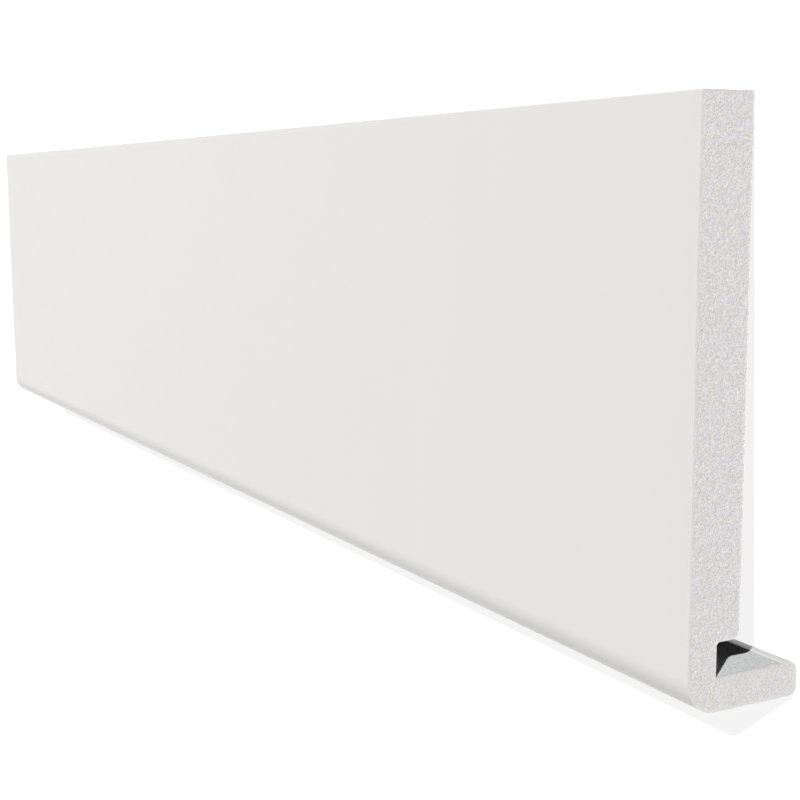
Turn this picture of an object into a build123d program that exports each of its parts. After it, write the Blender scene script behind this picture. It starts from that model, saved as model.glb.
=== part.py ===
from build123d import *

import os
from math import acos, atan2, degrees, hypot

# A fascia board for the edge of a roof: one extruded length of foamed PVC-U with a smooth skin.
#
# The section is a flat board with a square leg turned back along its lower edge. Above the leg the back
# of the board is rebated, which leaves a groove for the edge of a soffit board. The lower front corner
# is a large round, concentric with the groove's corner, so that the wall keeps its thickness round the
# bend. The skin covers the front, the underside and the leg's tip, and thins out on the inside of the leg.
#
# The section is drawn upright, as the board is fixed: +Y runs from the front face to the back, +Z up the
# face, and the board is extruded along X. It is then laid down as it lies unheld on a floor, with the
# front face up, on the tip of the leg and the back edge of the top.

# Driving sizes, in millimetres.
board_length = 780.0
face_height = 175.0
board_thickness = 18.4
leg_reach = 40.9
leg_thickness = 10.3
front_wall = 10.2
soffit_thickness = 10.0
soffit_clearance = 0.4

# The skin's edge inside the leg: how far it runs in from the tip, how wide the slope is on which it thins
# out, and how high it stands.
skin_wrap = 5.3
skin_feather = 0.4
skin_step = 0.2

# Rounded edges of the section.
leg_underside_radius = 2.5
leg_topside_radius = 3.0
back_nose_radius = 2.0
groove_root_radius = 1.2
top_edge_radius = 0.2

# Sizes that follow from those above.
groove_ceiling = leg_thickness + soffit_thickness + soffit_clearance
tip_thickness = leg_thickness + skin_step
front_corner_radius = front_wall


def board_section():
    """The upright section, on the plane across the length: each corner and the radius that rounds it."""
    rounded_corners = [
        ((0, 0), front_corner_radius),
        ((leg_reach, 0), leg_underside_radius),
        ((leg_reach, tip_thickness), leg_topside_radius),
        ((leg_reach - skin_wrap + skin_feather, tip_thickness), 0),
        ((leg_reach - skin_wrap, leg_thickness), 0),
        ((front_wall, leg_thickness), 0),
        ((front_wall, groove_ceiling), groove_root_radius),
        ((board_thickness, groove_ceiling), back_nose_radius),
        ((board_thickness, face_height), top_edge_radius),
        ((0, face_height), top_edge_radius),
    ]
    outline = Polyline([corner for corner, _ in rounded_corners], close=True)
    section = Plane.YZ * make_face(outline)
    for (depth, height), radius in rounded_corners:
        if radius > 0:
            corner = section.vertices().sort_by_distance((0, depth, height))[0]
            section = fillet(corner, radius)
    return section


def resting_tilt():
    """Degrees that the face slopes when the leg tip and the back edge of the top both touch the floor.

    The floor is the line that touches both rounded edges from behind.
    """
    tip_depth = leg_reach - leg_topside_radius
    tip_height = tip_thickness - leg_topside_radius
    top_depth = board_thickness - top_edge_radius
    top_height = face_height - top_edge_radius
    fall = tip_depth - top_depth
    run = top_height - tip_height
    between_centres = hypot(fall, run)
    return degrees(acos((top_edge_radius - leg_topside_radius) / between_centres) - atan2(run, fall))


def lie_down(board):
    """Turns the upright board onto its back and sets the middle of its box's underside at the origin."""
    lying = Rot(X=-(90 + resting_tilt())) * board
    box = lying.bounding_box()
    return Pos(-box.center().X, -box.center().Y, -box.min.Z) * lying


def fascia_board():
    """The whole board, lying as it rests."""
    return lie_down(extrude(board_section(), board_length / 2, both=True))


def main():
    os.makedirs("parts", exist_ok=True)
    export_step(fascia_board(), "parts/fascia_board.step")


main()
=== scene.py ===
"""Looks of a white foamed plastic fascia board, which lies front face up on a pale floor.

The board is one closed mesh: its section is drawn upright, extruded, and laid down as the solid lies. Its
long sides are a smooth satin skin, the same skin painted paler as a painted sheen on the inside of the
leg's tip, or the duller bare surface of the foam. Both sawn ends have the relief of cut foam cells. All
sizes are in metres.
"""

import math
import random

import bpy
from mathutils import Matrix, Vector, noise
from mathutils.geometry import delaunay_2d_cdt
from mathutils.kdtree import KDTree


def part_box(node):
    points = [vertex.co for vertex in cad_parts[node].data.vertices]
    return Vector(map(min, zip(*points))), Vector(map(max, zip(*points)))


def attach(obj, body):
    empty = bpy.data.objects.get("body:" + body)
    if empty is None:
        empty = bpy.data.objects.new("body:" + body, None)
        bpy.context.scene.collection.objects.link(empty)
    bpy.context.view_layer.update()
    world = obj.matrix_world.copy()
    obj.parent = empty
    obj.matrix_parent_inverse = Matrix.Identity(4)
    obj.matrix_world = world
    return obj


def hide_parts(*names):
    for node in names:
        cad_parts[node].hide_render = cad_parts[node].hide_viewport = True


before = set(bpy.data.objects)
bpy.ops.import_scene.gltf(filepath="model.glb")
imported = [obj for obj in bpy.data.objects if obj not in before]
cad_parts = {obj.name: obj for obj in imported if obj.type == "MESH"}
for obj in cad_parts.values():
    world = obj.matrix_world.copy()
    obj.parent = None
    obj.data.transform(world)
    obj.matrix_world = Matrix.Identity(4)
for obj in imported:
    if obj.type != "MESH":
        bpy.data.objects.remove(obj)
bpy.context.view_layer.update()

MM = 0.001
NODE = "fascia_board"

# The section, as the solid has it.
FACE_HEIGHT = 175.0 * MM
BOARD_THICKNESS = 18.4 * MM
LEG_REACH = 40.9 * MM
LEG_THICKNESS = 10.3 * MM
FRONT_WALL = 10.2 * MM
GROOVE_HEIGHT = 10.4 * MM
SKIN_WRAP = 5.3 * MM
SKIN_FEATHER = 0.4 * MM
SKIN_STEP = 0.2 * MM
LEG_UNDERSIDE_RADIUS = 2.5 * MM
LEG_TOPSIDE_RADIUS = 3.0 * MM
BACK_NOSE_RADIUS = 2.0 * MM
GROOVE_ROOT_RADIUS = 1.2 * MM
TOP_EDGE_RADIUS = 0.2 * MM
GROOVE_CEILING = LEG_THICKNESS + GROOVE_HEIGHT
TIP_THICKNESS = LEG_THICKNESS + SKIN_STEP

# What covers each run of the section. The numbers are the mesh's material slots.
SKIN = 0
TIP_SKIN_PAINTED_SHEEN = 1
BARE = 2
SAWN = 3

# How fine the mesh is. The triangles of an end are made inside its outline alone.
OUTLINE_STEP = 0.45 * MM
ARC_STEPS = 12
SHORTEST_EDGE = 0.01 * MM
SHARP_ANGLE = math.radians(40)
INSIDE_ONLY = 1
TRIANGLE_TOLERANCE = 1e-9

# The relief of the sawn ends: points on a jittered grid, and noise that sinks most of them.
GRAIN_STEP = 0.42 * MM
GRAIN_JITTER = 0.35
ROW_SHIFT = 0.5
RIM_WIDTH = 0.30 * MM
CELL_SIZE = 0.55 * MM
CELL_DEPTH = 0.12 * MM
PATCH_SIZE = 2.5 * MM
PATCH_DEPTH = 0.03 * MM
PATCH_SEED_STEP = 5
MOSTLY_CUT = 0.35
SEED = 17

# The dense skin, as the sawn ends show it, and the name of the mesh's value that is one in the foam.
SKIN_THICKNESS = 0.7 * MM
SKIN_BLEND = 0.9 * MM
CORE = "core"

# The photograph's camera, placed beside the upright board: from the middle of its length, its front face
# and its lower edge. The angles turn it from looking straight at the front face.
CAMERA_PLACE = Vector((697.7, -257.0, 149.2)) * MM
CAMERA_YAW = math.radians(61.751)
CAMERA_DIP = math.radians(8.320)
CAMERA_ROLL = math.radians(-0.349)
CAMERA_LENS = 65.12
CAMERA_SENSOR = 36.0
CAMERA_NEAREST = 10.0 * MM

# Lights. Each lamp's direction points from the board to the lamp, in the frame of the board as it lies.
KEY_DIRECTION = Vector((0.561, 0.540, 0.627))
KEY_LEVEL = 1.36
KEY_SOFTNESS = math.radians(0.5)
FILL_SOFTNESS = math.radians(20)
FILLS = {
    "leg_side": (Vector((-0.30, -0.94, 0.10)), 0.32),
    "top_side": (Vector((-0.45, 0.88, 0.10)), 0.20),
    "far_end": (Vector((-0.98, 0.05, 0.10)), 0.34),
    "near_end": (Vector((0.98, 0.05, 0.10)), 0.04),
}

# How bright the world is in what it lights and in what mirrors it. To the camera it is one.
AMBIENT_LEVEL = 0.02
GLOSS_LEVEL = 0.88

# The floor. To the camera it glows, and the lamps add the rest of its white where no shadow falls.
FLOOR_SIZE = 14.0
FLOOR_DROP = 0.02 * MM
FLOOR_GLOW = 0.88
FLOOR_LIT = (0.20, 0.20, 0.20)

# The kinds of ray that the world and the floor tell apart.
CAMERA_RAY = "Is Camera Ray"
GLOSSY_RAY = "Is Glossy Ray"
THROUGH_RAY = "Is Transmission Ray"

# Colours: how much red, green and blue light each surface gives back.
WHITE = (1.0, 1.0, 1.0)
SKIN_COLOUR = (0.729, 0.720, 0.706)
# Painted sheen: the skin inside the leg's tip is the face's skin, coloured paler so that strip looks
# glossier.
TIP_SKIN_PAINTED_SHEEN_COLOUR = (0.825, 0.822, 0.825)
FOAM_COLOUR = (0.860, 0.848, 0.852)
DENSE_COLOUR = (0.885, 0.880, 0.870)
BARE_COLOUR = (0.888, 0.896, 0.893)
FLOOR_COLOUR = (0.02, 0.02, 0.02)

# Patterns. A scale is the waves in each metre. A stretch under one draws a pattern out along an axis.
EVEN = (1.0, 1.0, 1.0)
PLAIN_DETAIL = 1.0
FINE_DETAIL = 2.0
UNIT = (0.0, 1.0)

# The skin: a cloud of slightly uneven colour and gloss, fine lines left by the die, and a faint peel.
CLOUD_STRETCH = (4.0, 1.0, 1.0)
CLOUD_SCALE = 9.0
CLOUD_RANGE = (0.3, 0.7)
CLOUD_SHADES = (0.995, 1.005)
DIE_STRETCH = (0.02, 1.0, 1.0)
DIE_SCALE = 900.0
DIE_DEPTH = 0.004 * MM
DIE_STRENGTH = 0.5
PEEL_SCALE = 350.0
PEEL_DEPTH = 0.006 * MM
PEEL_STRENGTH = 0.4
SKIN_IOR = 1.50
SKIN_SPECULAR = 0.7
SKIN_ROUGHNESS = (0.32, 0.38)
COAT = 0.55
COAT_ROUGHNESS = 0.12

# The bare surface: most cells are pale, some are darker hollows, and faint lines run along the board.
BARE_CELL = 0.45 * MM
BARE_SHADES = ((0.0, 0.74), (0.35, 1.01), (1.0, 1.08))
BARE_LINE_STRETCH = (0.03, 1.0, 1.0)
BARE_LINE_SCALE = 600.0
BARE_LINE_DEPTH = 0.02 * MM
BARE_LINE_STRENGTH = 0.5
BARE_CELL_DEPTH = 0.03 * MM
BARE_CELL_STRENGTH = 0.6
BARE_ROUGHNESS = 0.95

# The sawn foam: each cell has its own shade, and patches of cells are faintly cooler or warmer.
FOAM_CELL = 0.36 * MM
FOAM_SHADES = ((0.0, 0.865), (1.0, 1.135))
FOAM_PATCH_SCALE = 420.0
FOAM_PATCH_TINTS = ((0.35, (1.0, 0.992, 1.010)), (0.65, (0.997, 1.0, 0.963)))
FOAM_CELL_DEPTH = 0.05 * MM
FOAM_CELL_STRENGTH = 1.0
FOAM_ROUGHNESS = (0.65, 0.92)
FOAM_SPECULAR = 0.15

# The colour sockets of a mix node, by number, because its other sockets have the same names.
MIX_SHARE = 0
MIX_FIRST = 6
MIX_SECOND = 7
MIX_RESULT = 2


def resting_tilt():
    """How far the face slopes when the leg's tip and the back edge of the top both touch the floor."""
    fall = (LEG_REACH - LEG_TOPSIDE_RADIUS) - (BOARD_THICKNESS - TOP_EDGE_RADIUS)
    run = (FACE_HEIGHT - TOP_EDGE_RADIUS) - (TIP_THICKNESS - LEG_TOPSIDE_RADIUS)
    between_centres = math.hypot(fall, run)
    return math.acos((TOP_EDGE_RADIUS - LEG_TOPSIDE_RADIUS) / between_centres) - math.atan2(run, fall)


def corners():
    """The section's corners in order: depth, height, radius, and what covers the run to the next."""
    return [
        (0.0, 0.0, FRONT_WALL, SKIN),
        (LEG_REACH, 0.0, LEG_UNDERSIDE_RADIUS, SKIN),
        (LEG_REACH, TIP_THICKNESS, LEG_TOPSIDE_RADIUS, TIP_SKIN_PAINTED_SHEEN),
        (LEG_REACH - SKIN_WRAP + SKIN_FEATHER, TIP_THICKNESS, 0.0, TIP_SKIN_PAINTED_SHEEN),
        (LEG_REACH - SKIN_WRAP, LEG_THICKNESS, 0.0, BARE),
        (FRONT_WALL, LEG_THICKNESS, 0.0, BARE),
        (FRONT_WALL, GROOVE_CEILING, GROOVE_ROOT_RADIUS, BARE),
        (BOARD_THICKNESS, GROOVE_CEILING, BACK_NOSE_RADIUS, BARE),
        (BOARD_THICKNESS, FACE_HEIGHT, TOP_EDGE_RADIUS, BARE),
        (0.0, FACE_HEIGHT, TOP_EDGE_RADIUS, SKIN),
    ]


def rounded(before, corner, after, radius):
    """The points that round a square corner with an arc, or the corner alone where it is sharp."""
    if radius == 0:
        return [corner]
    back = (before - corner).normalized()
    on = (after - corner).normalized()
    centre = corner + (back + on) * radius
    points = []
    for step in range(ARC_STEPS + 1):
        angle = step / ARC_STEPS * math.pi / 2
        points.append(centre - on * radius * math.cos(angle) - back * radius * math.sin(angle))
    return points


def section_outline():
    """The outline's points, closely spaced, each with what covers the edge that follows.

    A rounding is covered as one of the runs beside it, and is bare only between two bare ones.
    """
    shape = corners()
    places = [Vector((depth, height)) for depth, height, _, _ in shape]
    outline = []
    for i, (_, _, radius, cover) in enumerate(shape):
        after = (i + 1) % len(shape)
        _, _, _, cover_before = shape[i - 1]
        _, _, radius_after, _ = shape[after]
        arc = rounded(places[i - 1], places[i], places[after], radius)
        outline += [(point, min(cover_before, cover)) for point in arc[:-1]]
        run_end = places[after] + (places[i] - places[after]).normalized() * radius_after
        run = run_end - arc[-1]
        steps = max(1, round(run.length / OUTLINE_STEP))
        if run.length > SHORTEST_EDGE:
            outline += [(arc[-1] + run * step / steps, cover) for step in range(steps)]
    return outline


def lie_down(outline):
    """The matrix that lays the upright board on the floor, as the solid lies."""
    turned = Matrix.Rotation(-(math.pi / 2 + resting_tilt()), 4, "X")
    laid = [turned @ Vector((0, depth, height)) for (depth, height), _ in outline]
    middle = (min(point.y for point in laid) + max(point.y for point in laid)) / 2
    lowest = min(point.z for point in laid)
    low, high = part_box(NODE)
    return Matrix.Translation((0, (low.y + high.y) / 2 - middle, low.z - lowest)) @ turned


def within_board(depth, height):
    """Whether a place on the section is inside its shape, drawn with square corners and no skin step."""
    in_leg = 0 < depth < LEG_REACH and 0 < height < LEG_THICKNESS
    in_wall = 0 < depth < FRONT_WALL and 0 < height < FACE_HEIGHT
    in_face = 0 < depth < BOARD_THICKNESS and GROOVE_CEILING < height < FACE_HEIGHT
    return in_leg or in_wall or in_face


def edge_finder(outline):
    """A search tree of some of the outline's points, or of all."""
    tree = KDTree(len(outline))
    for i, (point, _) in enumerate(outline):
        tree.insert((point.x, point.y, 0), i)
    tree.balance()
    return tree


def distance_to(tree, place):
    """How far a place on the section is from the nearest point of a search tree."""
    _, _, distance = tree.find((place.x, place.y, 0))
    return distance


def grain_points(edge_tree, seed):
    """Places for the cut cells on one end: a jittered grid over the section, clear of its edge."""
    shuffle = random.Random(seed)
    points = []
    rows = int(FACE_HEIGHT / GRAIN_STEP) + 1
    columns = int(LEG_REACH / GRAIN_STEP) + 1
    for row in range(rows):
        shift = ROW_SHIFT * (row % 2)
        for column in range(columns):
            depth = (column + shift + shuffle.uniform(-GRAIN_JITTER, GRAIN_JITTER)) * GRAIN_STEP
            height = (row + shuffle.uniform(-GRAIN_JITTER, GRAIN_JITTER)) * GRAIN_STEP
            place = Vector((depth, height))
            if within_board(depth, height) and distance_to(edge_tree, place) > RIM_WIDTH:
                points.append(place)
    return points


def smooth(value):
    """Zero to one along an even curve."""
    held = min(1.0, max(0.0, value))
    return held * held * (3 - 2 * held)


def foam_share(place, skin_tree):
    """Zero in the dense skin and one in the foam behind it."""
    blend_start = SKIN_THICKNESS - SKIN_BLEND / 2
    return smooth((distance_to(skin_tree, place) - blend_start) / SKIN_BLEND)


def cell_depth(place, seed):
    """How deep the sawn surface lies at a place on the section: cut cells, on slight wider patches."""
    cell = noise.noise(Vector((place.x / CELL_SIZE, place.y / CELL_SIZE, seed)))
    patch = noise.noise(Vector((place.x / PATCH_SIZE, place.y / PATCH_SIZE, seed + PATCH_SEED_STEP)))
    return max(0, MOSTLY_CUT + cell) * CELL_DEPTH + max(0, MOSTLY_CUT + patch) * PATCH_DEPTH


def sawn_end(outline, edge_tree, seed):
    """One end's points, which start with the outline's, and the triangles between them."""
    rim = [point for point, _ in outline]
    edges = [(i, (i + 1) % len(rim)) for i in range(len(rim))]
    scattered = rim + grain_points(edge_tree, seed)
    triangulated = delaunay_2d_cdt(scattered, edges, [], INSIDE_ONLY, TRIANGLE_TOLERANCE)
    places, _, triangles, sources, _, _ = triangulated
    new_index = {source: new for new, merged in enumerate(sources) for source in merged}
    used = sorted({corner for triangle in triangles for corner in triangle})
    rim_index = {new_index[i]: i for i in range(len(rim))}
    inner = [new for new in used if new not in rim_index]
    number = rim_index | {new: len(rim) + i for i, new in enumerate(inner)}
    faces = [tuple(number[corner] for corner in triangle) for triangle in triangles]
    return rim + [places[new] for new in inner], faces


def board_mesh(outline, lying, half_length):
    """The closed mesh of the board: long sides between two sawn ends."""
    ring = len(outline)
    edge_tree = edge_finder(outline)
    skin_tree = edge_finder([(point, cover) for point, cover in outline if cover != BARE])
    points = []
    faces = []
    slots = []
    shares = []
    for side in (-1, 1):
        points += [Vector((side * half_length, depth, height)) for (depth, height), _ in outline]
        shares += [foam_share(point, skin_tree) for point, _ in outline]
    for i, (_, cover) in enumerate(outline):
        after = (i + 1) % ring
        faces.append((i, after, ring + after, ring + i))
        slots.append(cover)
    for side in (-1, 1):
        places, triangles = sawn_end(outline, edge_tree, SEED + side)
        base = 0 if side < 0 else ring
        first_inner = len(points)
        for place in places[ring:]:
            share = foam_share(place, skin_tree)
            depth = share * cell_depth(place, SEED + side)
            points.append(Vector((side * (half_length - depth), place.x, place.y)))
            shares.append(share)
        for triangle in triangles:
            face = [base + i if i < ring else first_inner + i - ring for i in triangle]
            faces.append(tuple(face if side > 0 else reversed(face)))
            slots.append(SAWN)
    mesh = bpy.data.meshes.new("board")
    mesh.from_pydata([lying @ point for point in points], [], faces)
    mesh.polygons.foreach_set("material_index", slots)
    mesh.polygons.foreach_set("use_smooth", [True] * len(faces))
    mesh.attributes.new(CORE, "FLOAT", "POINT").data.foreach_set("value", shares)
    mesh.update()
    mesh.validate()
    mesh.set_sharp_from_angle(angle=SHARP_ANGLE)
    return mesh


class Shader:
    """A small helper that builds the nodes of a material or of the world."""

    def __init__(self, owner, surface="Principled BSDF"):
        owner.use_nodes = True
        self.owner = owner
        self.tree = owner.node_tree
        self.surface = self.tree.nodes[surface]

    def fill(self, node, inputs):
        """Sets inputs by name or number. Each gets a plain value, or a link from another node's socket."""
        for name, value in inputs.items():
            if isinstance(value, bpy.types.NodeSocket):
                self.tree.links.new(value, node.inputs[name])
            else:
                node.inputs[name].default_value = value
        return node

    def node(self, kind, inputs=None, **settings):
        """Adds a node, with its settings and then its inputs."""
        made = self.tree.nodes.new("ShaderNode" + kind)
        for name, value in settings.items():
            setattr(made, name, value)
        return self.fill(made, inputs or {})

    def complete(self, inputs):
        """Sets the surface's inputs and gives the material or the world."""
        self.fill(self.surface, inputs)
        return self.owner

    def place(self, stretch=EVEN):
        """The board's own coordinates, multiplied along each axis."""
        where = self.node("TexCoord").outputs["Object"]
        return self.node("VectorMath", {0: where, 1: stretch}, operation="MULTIPLY").outputs["Vector"]

    def noise(self, place, scale, detail=FINE_DETAIL):
        """A smooth random value from zero to one."""
        inputs = {"Vector": place, "Scale": scale, "Detail": detail}
        return self.node("TexNoise", inputs).outputs["Fac"]

    def cells(self, place, size):
        """A shade from zero to one for each cell, and the distance from its middle in cell sizes."""
        cell = self.node("TexVoronoi", {"Vector": place, "Scale": 1.0 / size})
        parts = self.node("SeparateColor", {"Color": cell.outputs["Color"]})
        return parts.outputs["Red"], cell.outputs["Distance"]

    def span(self, value, before, after):
        """Maps a value from one range to another."""
        inputs = {"Value": value, "From Min": before[0], "From Max": before[1]}
        inputs.update({"To Min": after[0], "To Max": after[1]})
        return self.node("MapRange", inputs).outputs["Result"]

    def product(self, first, second):
        return self.node("Math", {0: first, 1: second}, operation="MULTIPLY").outputs["Value"]

    def shades(self, value, stops):
        """Colours along a value."""
        ramp = self.node("ValToRGB", {"Fac": value})
        ends = ramp.color_ramp.elements
        for i, (position, colour) in enumerate(stops):
            stop = ends[i] if i < 2 else ends.new(position)
            stop.position = position
            stop.color = opaque(colour)
        return ramp.outputs["Color"]

    def mixed(self, first, second, share, blend="MIX"):
        """A colour with a share of another one blended into it."""
        inputs = {MIX_SHARE: share, MIX_FIRST: first, MIX_SECOND: second}
        return self.node("Mix", inputs, data_type="RGBA", blend_type=blend).outputs[MIX_RESULT]

    def bump(self, height, depth, strength, under=None):
        """The relief of a height, on top of another relief if there is one."""
        inputs = {"Height": height, "Distance": depth, "Strength": strength}
        if under is not None:
            inputs["Normal"] = under
        return self.node("Bump", inputs).outputs["Normal"]

    def any_ray(self, *kinds):
        """One where a ray is of one of the kinds, and otherwise zero."""
        path = self.node("LightPath").outputs
        total = path[kinds[0]]
        for kind in kinds[1:]:
            total = self.node("Math", {0: total, 1: path[kind]}, operation="MAXIMUM").outputs["Value"]
        return total


def opaque(colour):
    return (*colour, 1.0)


def tones(colour, factors):
    """Places on a ramp, each with the colour made lighter or darker by a factor, but never above one."""
    return [(place, tuple(min(1.0, part * factor) for part in colour)) for place, factor in factors]


def skin_material(name, skin_colour):
    """The smooth satin skin: faint die lines along the board, and a slightly uneven gloss."""
    skin = Shader(bpy.data.materials.new(name))
    cloud = skin.noise(skin.place(CLOUD_STRETCH), CLOUD_SCALE)
    die_lines = skin.noise(skin.place(DIE_STRETCH), DIE_SCALE, PLAIN_DETAIL)
    peel = skin.noise(skin.place(), PEEL_SCALE)
    lined = skin.bump(die_lines, DIE_DEPTH, DIE_STRENGTH)
    return skin.complete({
        "Base Color": skin.shades(cloud, tones(skin_colour, zip(CLOUD_RANGE, CLOUD_SHADES))),
        "Roughness": skin.span(cloud, CLOUD_RANGE, SKIN_ROUGHNESS),
        "Normal": skin.bump(peel, PEEL_DEPTH, PEEL_STRENGTH, lined),
        "IOR": SKIN_IOR,
        "Specular IOR Level": SKIN_SPECULAR,
        "Coat Weight": COAT,
        "Coat Roughness": COAT_ROUGHNESS,
    })


def bare_material():
    """The board's own foam surface where no skin covers it: duller, with a fine grain."""
    bare = Shader(bpy.data.materials.new("pvc_bare"))
    shade, cells = bare.cells(bare.place(), BARE_CELL)
    lines = bare.noise(bare.place(BARE_LINE_STRETCH), BARE_LINE_SCALE)
    lined = bare.bump(lines, BARE_LINE_DEPTH, BARE_LINE_STRENGTH)
    return bare.complete({
        "Base Color": bare.shades(shade, tones(BARE_COLOUR, BARE_SHADES)),
        "Normal": bare.bump(cells, BARE_CELL_DEPTH, BARE_CELL_STRENGTH, lined),
        "Roughness": BARE_ROUGHNESS,
        "Specular IOR Level": 0.0,
    })


def foam_material():
    """The sawn foam: lighter and darker cells, faintly cooler and warmer in patches, dense at the skin."""
    foam = Shader(bpy.data.materials.new("pvc_foam_cut"))
    place = foam.place()
    shade, cells = foam.cells(place, FOAM_CELL)
    speckle = foam.shades(shade, tones(FOAM_COLOUR, FOAM_SHADES))
    patches = foam.shades(foam.noise(place, FOAM_PATCH_SCALE, PLAIN_DETAIL), FOAM_PATCH_TINTS)
    cut = foam.mixed(speckle, patches, 1.0, "MULTIPLY")
    core = foam.node("Attribute", attribute_name=CORE).outputs["Fac"]
    return foam.complete({
        "Base Color": foam.mixed(opaque(DENSE_COLOUR), cut, core),
        "Normal": foam.bump(foam.product(cells, core), FOAM_CELL_DEPTH, FOAM_CELL_STRENGTH),
        "Roughness": foam.span(core, UNIT, FOAM_ROUGHNESS),
        "Specular IOR Level": FOAM_SPECULAR,
    })


def floor_material():
    """White with a light shadow to the camera, white in gloss, and dark to every other ray."""
    floor = Shader(bpy.data.materials.new("floor"))
    plain = {"Base Color": opaque(FLOOR_COLOUR), "Roughness": 1.0, "Specular IOR Level": 0.0}
    shown = floor.fill(floor.surface, plain).outputs["BSDF"]
    white = floor.node("Emission").outputs["Emission"]
    glow = floor.node("Emission", {"Strength": FLOOR_GLOW}).outputs["Emission"]
    lit = floor.node("BsdfDiffuse", {"Color": opaque(FLOOR_LIT)}).outputs["BSDF"]
    seen = floor.node("AddShader", {0: glow, 1: lit}).outputs["Shader"]
    for kinds, look in (((GLOSSY_RAY, THROUGH_RAY), white), ((CAMERA_RAY,), seen)):
        choice = {0: floor.any_ray(*kinds), 1: shown, 2: look}
        shown = floor.node("MixShader", choice).outputs["Shader"]
    floor.fill(floor.tree.nodes["Material Output"], {"Surface": shown})
    return floor.owner


def add_object(name, data):
    """A new object in the scene."""
    made = bpy.data.objects.new(name, data)
    bpy.context.scene.collection.objects.link(made)
    return made


def make_board():
    """The visible board, which stands for the solid."""
    low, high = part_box(NODE)
    outline = section_outline()
    lying = lie_down(outline)
    mesh = board_mesh(outline, lying, (high.x - low.x) / 2)
    covers = {
        SKIN: skin_material("pvc_skin", SKIN_COLOUR),
        # Painted sheen: the strip inside the leg's tip gets the same skin with a paler colour.
        TIP_SKIN_PAINTED_SHEEN: skin_material("pvc_tip_skin_painted_sheen", TIP_SKIN_PAINTED_SHEEN_COLOUR),
        BARE: bare_material(),
        SAWN: foam_material(),
    }
    for slot in sorted(covers):
        mesh.materials.append(covers[slot])
    board = add_object("board", mesh)
    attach(board, "root")
    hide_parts(NODE)
    return lying


def make_camera(lying):
    """The photograph's camera, laid down with the board."""
    data = bpy.data.cameras.new("camera")
    data.lens = CAMERA_LENS
    data.sensor_width = CAMERA_SENSOR
    data.clip_start = CAMERA_NEAREST
    heading = Matrix.Rotation(CAMERA_YAW, 4, "Z")
    level = Matrix.Rotation(math.pi / 2 - CAMERA_DIP, 4, "X")
    roll = Matrix.Rotation(CAMERA_ROLL, 4, "Z")
    camera = add_object("camera", data)
    camera.matrix_world = lying @ Matrix.Translation(CAMERA_PLACE) @ heading @ level @ roll
    bpy.context.scene.camera = camera


def make_sun(name, direction, level, softness, in_gloss=True):
    """A distant lamp. Its level is how bright it makes a white surface that faces it."""
    data = bpy.data.lights.new(name, "SUN")
    data.energy = level * math.pi
    data.angle = softness
    lamp = add_object(name, data)
    lamp.rotation_euler = direction.to_track_quat("Z", "Y").to_euler()
    lamp.visible_glossy = in_gloss


def make_world():
    """White to the camera, a little less in gloss, and a low even light on everything."""
    world = Shader(bpy.data.worlds.new("studio"), "Background")
    in_gloss = world.span(world.any_ray(GLOSSY_RAY), UNIT, (AMBIENT_LEVEL, GLOSS_LEVEL))
    level = world.span(world.any_ray(CAMERA_RAY, THROUGH_RAY), UNIT, (in_gloss, 1.0))
    bpy.context.scene.world = world.complete({"Color": opaque(WHITE), "Strength": level})


def make_floor():
    """One flat square just under the board."""
    half = FLOOR_SIZE / 2
    around = ((-half, -half), (half, -half), (half, half), (-half, half))
    mesh = bpy.data.meshes.new("floor")
    mesh.from_pydata([(x, y, -FLOOR_DROP) for x, y in around], [], [(0, 1, 2, 3)])
    mesh.materials.append(floor_material())
    floor = add_object("floor", mesh)


bpy.context.scene.view_settings.view_transform = "Standard"
laid = make_board()
make_camera(laid)
make_world()
make_floor()
make_sun("key", KEY_DIRECTION, KEY_LEVEL, KEY_SOFTNESS)
for fill_name, (fill_direction, fill_level) in FILLS.items():
    make_sun(fill_name, fill_direction, fill_level, FILL_SOFTNESS, in_gloss=False)
